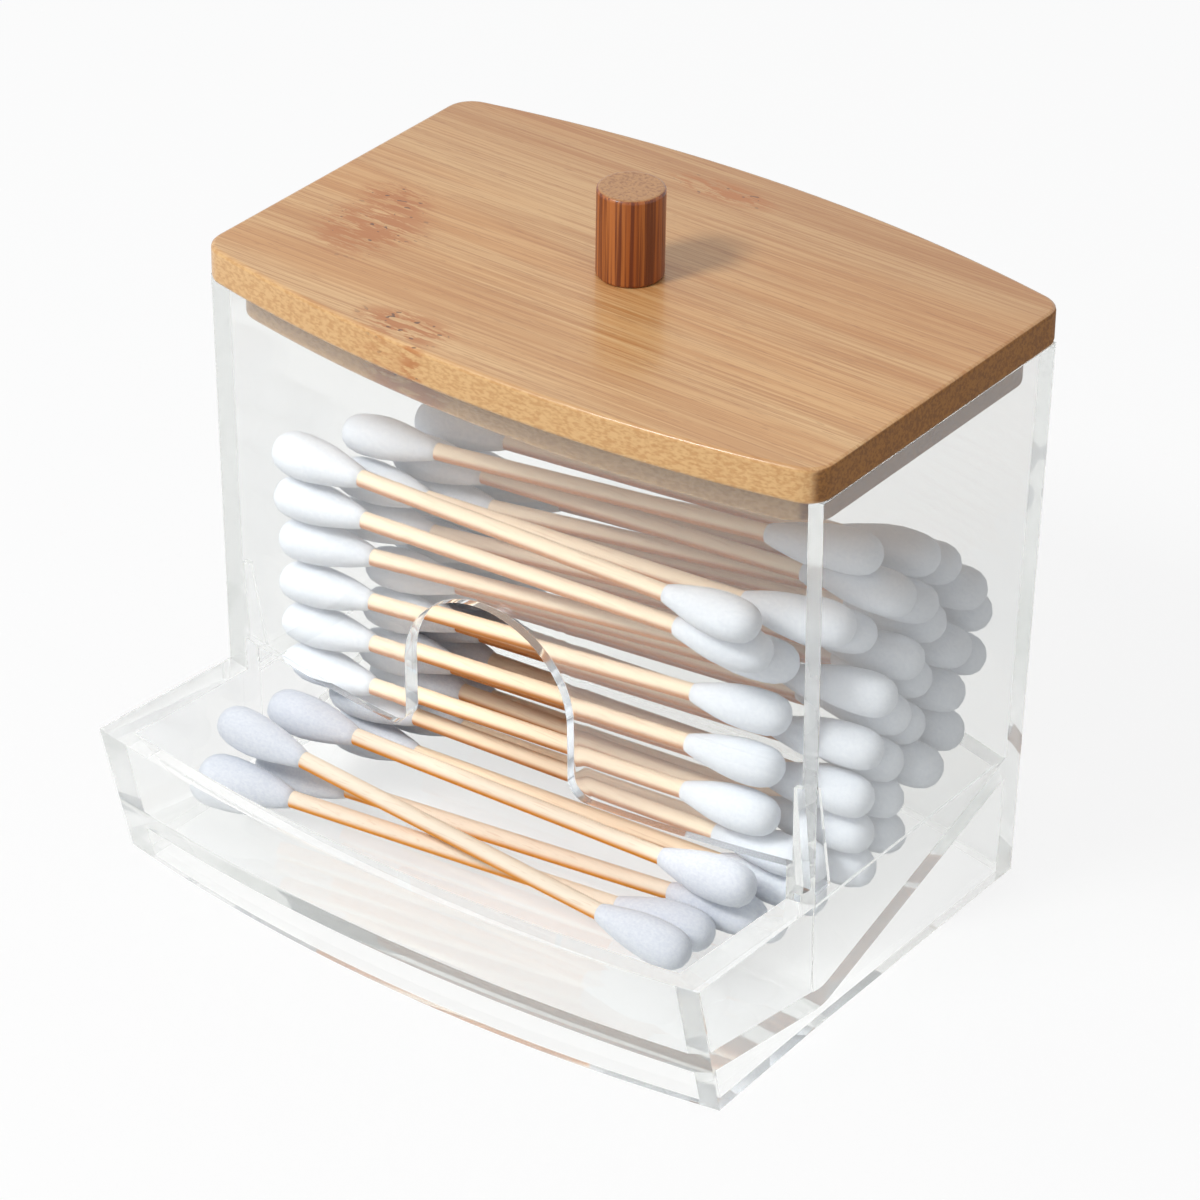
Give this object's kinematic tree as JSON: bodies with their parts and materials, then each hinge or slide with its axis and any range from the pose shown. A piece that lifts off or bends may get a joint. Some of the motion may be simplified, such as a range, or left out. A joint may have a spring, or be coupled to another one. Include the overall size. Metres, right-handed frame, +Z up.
{
  "type": "cotton swab holder",
  "caption": "Clear moulded holder with a bowed front, a finger notch over an open front tray, a sloped floor, a flat wooden lid with a turned knob, and cotton swabs lying in it.",
  "frame": {"origin": "centre of the footprint of the whole part's box, on the surface that the holder stands on", "axes": "+X along the width, to the right as seen from the tray; -Y towards the tray; +Z up towards the knob"},
  "size_m": [0.0962, 0.0868, 0.0951],
  "materials": {
    "clear_plastic": "clear, glossy moulded plastic",
    "bamboo": "bamboo board, fine streaks along the width, light clear coat",
    "knob_wood": "darker turned wood, polished",
    "screw_steel": "zinc-plated steel",
    "stick_wood": "plain pale wood",
    "cotton": "soft wound cotton"
  },
  "bodies": {
    "holder": {"clear_body": "clear_plastic", "tray_swab_sticks": "stick_wood", "tray_swab_tips": "cotton", "swab_sticks_1": "stick_wood", "swab_sticks_2": "stick_wood", "swab_sticks_3": "stick_wood", "swab_sticks_4": "stick_wood", "swab_sticks_5": "stick_wood", "swab_sticks_6": "stick_wood", "swab_sticks_7": "stick_wood", "swab_sticks_8": "stick_wood", "swab_tips_1": "cotton", "swab_tips_2": "cotton", "swab_tips_3": "cotton", "swab_tips_4": "cotton", "swab_tips_5": "cotton", "swab_tips_6": "cotton", "swab_tips_7": "cotton", "swab_tips_8": "cotton"},
    "lid": {"lid_board": "bamboo", "lid_knob": "knob_wood", "knob_screw": "screw_steel"}
  },
  "joints": [
    {"name": "lid_lift", "type": "slide", "parent": "holder", "child": "lid", "axis": [0, 0, 1], "range_m": [0, 0.03]}
  ]
}
